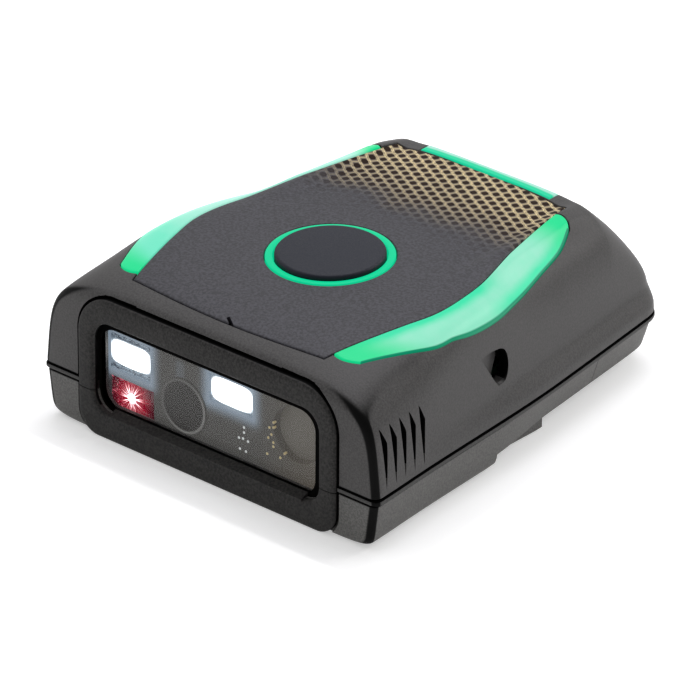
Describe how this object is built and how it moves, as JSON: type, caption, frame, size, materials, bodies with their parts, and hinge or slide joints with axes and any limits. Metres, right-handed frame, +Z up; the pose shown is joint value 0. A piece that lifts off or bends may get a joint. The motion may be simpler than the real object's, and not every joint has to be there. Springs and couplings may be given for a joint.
{
  "type": "wearable barcode scanner",
  "caption": "Small wearable barcode scanner: tapered moulded housing with a window and scan engine in front, lit guides round a cover plate, and a round sprung key on top.",
  "frame": {"origin": "under the middle of the part, on the plane it stands on", "axes": "+Z up, the window looks along -Y, +X to the right seen from above with the window towards the viewer"},
  "size_m": [0.0502, 0.0595, 0.0215],
  "materials": {
    "shell": "fine moulded texture",
    "lower_shell": "fine moulded texture",
    "rubber": "rough grained rubber",
    "seal": "fine ribbed rubber",
    "plate": "satin with a printed net at the rear",
    "light_guide": "lit translucent plastic",
    "key": "soft touch",
    "pad": "matt",
    "window": "clear",
    "optics_frame": "matt black",
    "barrel": "matt black",
    "lens": "coated",
    "lamp_optic": "clear, lit white",
    "aimer_optic": "clear red, lit",
    "diffuser": "milky",
    "circuit_board": "solder mask",
    "chip": "moulded",
    "sensor": "glossy",
    "flex": "amber film",
    "shield": "tinned",
    "battery": "foil",
    "tape": "adhesive foam",
    "motor": "plain",
    "buzzer": "moulded",
    "contact_body": "moulded",
    "contact": "gold plated",
    "screw": "zinc plated"
  },
  "bodies": {
    "body": {"upper_housing": "shell", "lower_housing": "lower_shell", "rear_end_cover": "lower_shell", "seam_gasket": "seal", "upper_window_surround": "rubber", "lower_window_surround": "rubber", "scan_window": "window", "window_gasket": "seal", "top_cover_plate": "plate", "light_guide_left": "light_guide", "light_guide_right": "light_guide", "light_guide_rear": "light_guide", "key_light_ring": "light_guide", "key_return_pad": "pad", "key_switch": "shield", "engine_chassis": "optics_frame", "engine_board": "circuit_board", "image_sensor": "sensor", "camera_barrel": "barrel", "camera_lens": "lens", "lamp_lens_left": "lamp_optic", "lamp_lens_right": "lamp_optic", "lamp_chips": "chip", "aimer_lens": "aimer_optic", "aimer_chip": "chip", "side_lens": "diffuser", "main_board": "circuit_board", "indicator_chips": "chip", "engine_flex": "flex", "radio_shield": "shield", "battery": "battery", "battery_tape": "tape", "vibration_motor": "motor", "buzzer": "buzzer", "contact_block": "contact_body", "contact_pins": "contact", "housing_screws": "screw", "board_screws": "screw"},
    "key": {"key_cap": "key"}
  },
  "joints": [
    {"name": "key_press", "type": "slide", "parent": "body", "child": "key", "axis": [0, -0.0279, 0.9996], "range_m": [-0.0005, 0], "stiffness_N_per_m": 1500, "springref_m": 0.0005, "deforming": ["key_return_pad"]}
  ]
}
